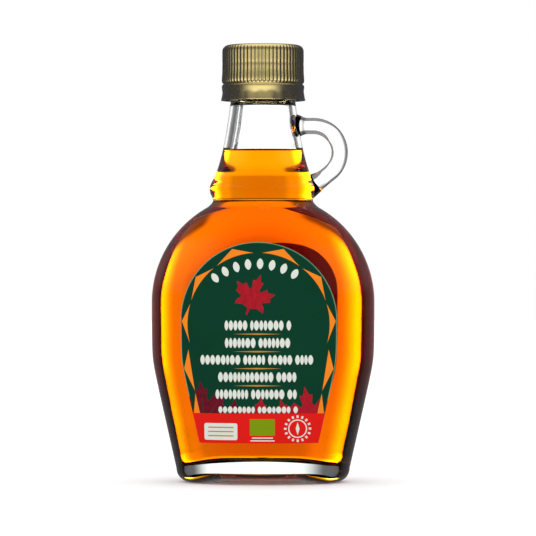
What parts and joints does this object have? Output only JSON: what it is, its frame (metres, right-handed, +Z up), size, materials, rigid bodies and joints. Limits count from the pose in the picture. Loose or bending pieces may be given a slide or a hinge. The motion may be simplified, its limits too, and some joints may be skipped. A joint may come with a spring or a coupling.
{
  "type": "glass maple syrup flask",
  "caption": "Oval glass flask of syrup with a finger loop at its neck, a ribbed gold screw cap and arched paper labels on the front and the back.",
  "frame": {"origin": "on the surface the flask stands on, at the middle of its foot", "axes": "+Z up through the cap, -Y out of the front label, +X towards the finger loop"},
  "size_m": [0.0804, 0.0572, 0.1575],
  "materials": {
    "clear_glass": "clear, fire-polished soda-lime glass",
    "syrup": "clear amber liquid",
    "gold_cap": "gold-lacquered sheet, ribbed and rolled",
    "front_label_paper": "printed paper with a satin varnish",
    "back_label_paper": "printed paper with a satin varnish"
  },
  "bodies": {
    "root": {"flask": "clear_glass", "syrup": "syrup", "screw_cap": "gold_cap", "front_label": "front_label_paper", "back_label": "back_label_paper"}
  },
  "joints": []
}
